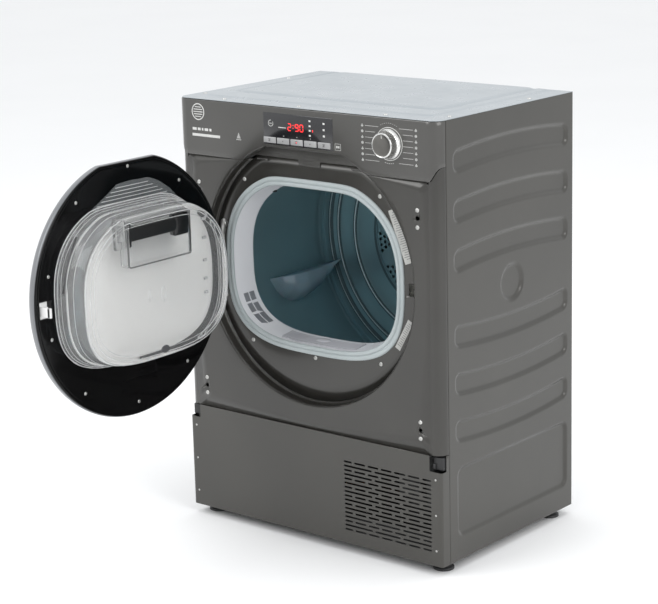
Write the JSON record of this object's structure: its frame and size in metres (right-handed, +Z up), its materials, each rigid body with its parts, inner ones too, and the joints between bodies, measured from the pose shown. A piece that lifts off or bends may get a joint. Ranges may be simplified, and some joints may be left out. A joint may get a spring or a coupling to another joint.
{
  "type": "built-in clothes dryer",
  "caption": "Slim built-in front-loading dryer, its round door swung open to show a clear water tank, with a grey cabinet, a pale gasket round the drum's mouth and a control fascia.",
  "frame": {"origin": "on the floor under the middle of the cabinet's footprint (the open door is left out of that middle)", "axes": "+Z up, the front and the drum's mouth face -Y, +X is the right side seen from the front; the door is stored swung open a quarter turn"},
  "size_m": [0.6, 0.922, 0.816],
  "materials": {
    "cabinet_paint": "satin graphite powder paint",
    "lid_paint": "pale grey coil coating",
    "zinc_sheet": "zinc coated sheet",
    "fascia_plastic": "fine grained graphite moulding",
    "window_black": "gloss",
    "circuit_board": "solder mask",
    "silver_plastic": "satin silver paint",
    "knob_metal": "satin face and bright ring",
    "black_plastic": "fine grain",
    "collar_plastic": "pale lilac grey moulding",
    "gasket_rubber": "smooth pale grey",
    "filter_white": "smooth",
    "drum_zinc": "zinc coated drum sheet",
    "lifter_plastic": "smooth blue grey",
    "plain_steel": "bright zinc",
    "felt_grey": "pressed felt",
    "roller_rubber": "matt",
    "motor_alloy": "cast",
    "grey_plastic": "smooth",
    "compressor_paint": "satin black",
    "fin_aluminium": "bright fins",
    "pipe_copper": "drawn copper",
    "door_silver": "satin silver grey",
    "ring_black": "gloss",
    "liner_white": "smooth",
    "tank_clear": "clear"
  },
  "bodies": {
    "cabinet": {"side_panel_left": "cabinet_paint", "side_panel_right": "cabinet_paint", "top_panel": "lid_paint", "front_panel": "cabinet_paint", "control_fascia": "fascia_plastic", "display_window": "window_black", "control_board": "circuit_board", "plinth_panel": "cabinet_paint", "rear_panel": "zinc_sheet", "rear_duct_cover": "zinc_sheet", "cable_inlet": "black_plastic", "base_tray": "black_plastic", "front_bulkhead": "collar_plastic", "filter_housing": "black_plastic", "door_gasket": "gasket_rubber", "drum_lamp": "black_plastic", "drum_felt_seal": "felt_grey", "rear_bearing": "plain_steel", "roller_axles": "plain_steel", "drive_belt": "roller_rubber", "drive_motor": "motor_alloy", "fan_housing": "black_plastic", "compressor": "compressor_paint", "compressor_mounts": "roller_rubber", "evaporator": "fin_aluminium", "condenser": "fin_aluminium", "exchanger_duct": "grey_plastic", "refrigerant_pipes": "pipe_copper", "condensate_pump": "grey_plastic", "condensate_hose": "roller_rubber", "door_latch": "plain_steel", "hinge_bracket": "plain_steel", "cabinet_screws": "plain_steel"},
    "drum": {"drum_shell": "drum_zinc", "drum_back_plate": "drum_zinc", "drum_lifters": "lifter_plastic", "drum_shaft": "plain_steel"},
    "roller_left": {"drum_roller_left": "roller_rubber"},
    "roller_right": {"drum_roller_right": "roller_rubber"},
    "rotor": {"motor_rotor": "plain_steel", "fan_impeller": "grey_plastic"},
    "knob": {"programme_knob": "knob_metal"},
    "button_1": {"option_button_1": "silver_plastic"},
    "button_2": {"option_button_2": "silver_plastic"},
    "button_3": {"option_button_3": "silver_plastic"},
    "button_4": {"option_button_4": "silver_plastic"},
    "button_5": {"option_button_5": "silver_plastic"},
    "door": {"door_shell": "door_silver", "door_ring": "ring_black", "door_liner": "liner_white", "door_hook": "liner_white", "door_hinge": "plain_steel", "door_screws": "plain_steel"},
    "tank": {"water_tank": "tank_clear", "tank_handle": "ring_black"},
    "filter": {"lint_filter": "filter_white"},
    "foot_fl": {"foot_front_left": "black_plastic"},
    "foot_fr": {"foot_front_right": "black_plastic"},
    "foot_rl": {"foot_rear_left": "black_plastic"},
    "foot_rr": {"foot_rear_right": "black_plastic"}
  },
  "joints": [
    {"name": "door_swing", "type": "hinge", "parent": "cabinet", "child": "door", "pos_m": [-0.226, -0.207, 0.508], "axis": [0, 0, -1], "range_deg": [-90, 0]},
    {"name": "tank_pull", "type": "slide", "parent": "door", "child": "tank", "axis": [1, 0, 0], "range_m": [0, 0.12]},
    {"name": "filter_lift", "type": "slide", "parent": "cabinet", "child": "filter", "axis": [0, 0, 1], "range_m": [0, 0.14]},
    {"name": "drum_spin", "type": "hinge", "parent": "cabinet", "child": "drum", "pos_m": [0, 0.195, 0.505], "axis": [0, 1, 0], "continuous": true},
    {"name": "roller_left_spin", "type": "hinge", "parent": "cabinet", "child": "roller_left", "pos_m": [-0.17523, -0.12, 0.25475], "axis": [0, 1, 0], "continuous": true},
    {"name": "roller_right_spin", "type": "hinge", "parent": "cabinet", "child": "roller_right", "pos_m": [0.17523, -0.12, 0.25475], "axis": [0, 1, 0], "continuous": true},
    {"name": "motor_spin", "type": "hinge", "parent": "cabinet", "child": "rotor", "pos_m": [0.06, 0.1, 0.105], "axis": [0, 1, 0], "continuous": true},
    {"name": "knob_turn", "type": "hinge", "parent": "cabinet", "child": "knob", "pos_m": [0.198, -0.2, 0.767], "axis": [0, -1, 0], "continuous": true},
    {"name": "button_1_press", "type": "slide", "parent": "cabinet", "child": "button_1", "axis": [0, 1, 0], "range_m": [0, 0.0015], "stiffness_N_per_m": 600},
    {"name": "button_2_press", "type": "slide", "parent": "cabinet", "child": "button_2", "axis": [0, 1, 0], "range_m": [0, 0.0015], "stiffness_N_per_m": 600},
    {"name": "button_3_press", "type": "slide", "parent": "cabinet", "child": "button_3", "axis": [0, 1, 0], "range_m": [0, 0.0015], "stiffness_N_per_m": 600},
    {"name": "button_4_press", "type": "slide", "parent": "cabinet", "child": "button_4", "axis": [0, 1, 0], "range_m": [0, 0.0015], "stiffness_N_per_m": 600},
    {"name": "button_5_press", "type": "slide", "parent": "cabinet", "child": "button_5", "axis": [0, 1, 0], "range_m": [0, 0.0015], "stiffness_N_per_m": 600},
    {"name": "foot_fl_adjust", "type": "slide", "parent": "cabinet", "child": "foot_fl", "axis": [0, 0, -1], "range_m": [0, 0.015]},
    {"name": "foot_fr_adjust", "type": "slide", "parent": "cabinet", "child": "foot_fr", "axis": [0, 0, -1], "range_m": [0, 0.015]},
    {"name": "foot_rl_adjust", "type": "slide", "parent": "cabinet", "child": "foot_rl", "axis": [0, 0, -1], "range_m": [0, 0.015]},
    {"name": "foot_rr_adjust", "type": "slide", "parent": "cabinet", "child": "foot_rr", "axis": [0, 0, -1], "range_m": [0, 0.015]}
  ],
  "couplings": [
    {"joint": "roller_left_spin", "follows": "drum_spin", "ratio": -11.717},
    {"joint": "roller_right_spin", "follows": "drum_spin", "ratio": -11.717},
    {"joint": "motor_spin", "follows": "drum_spin", "ratio": 24.79}
  ]
}
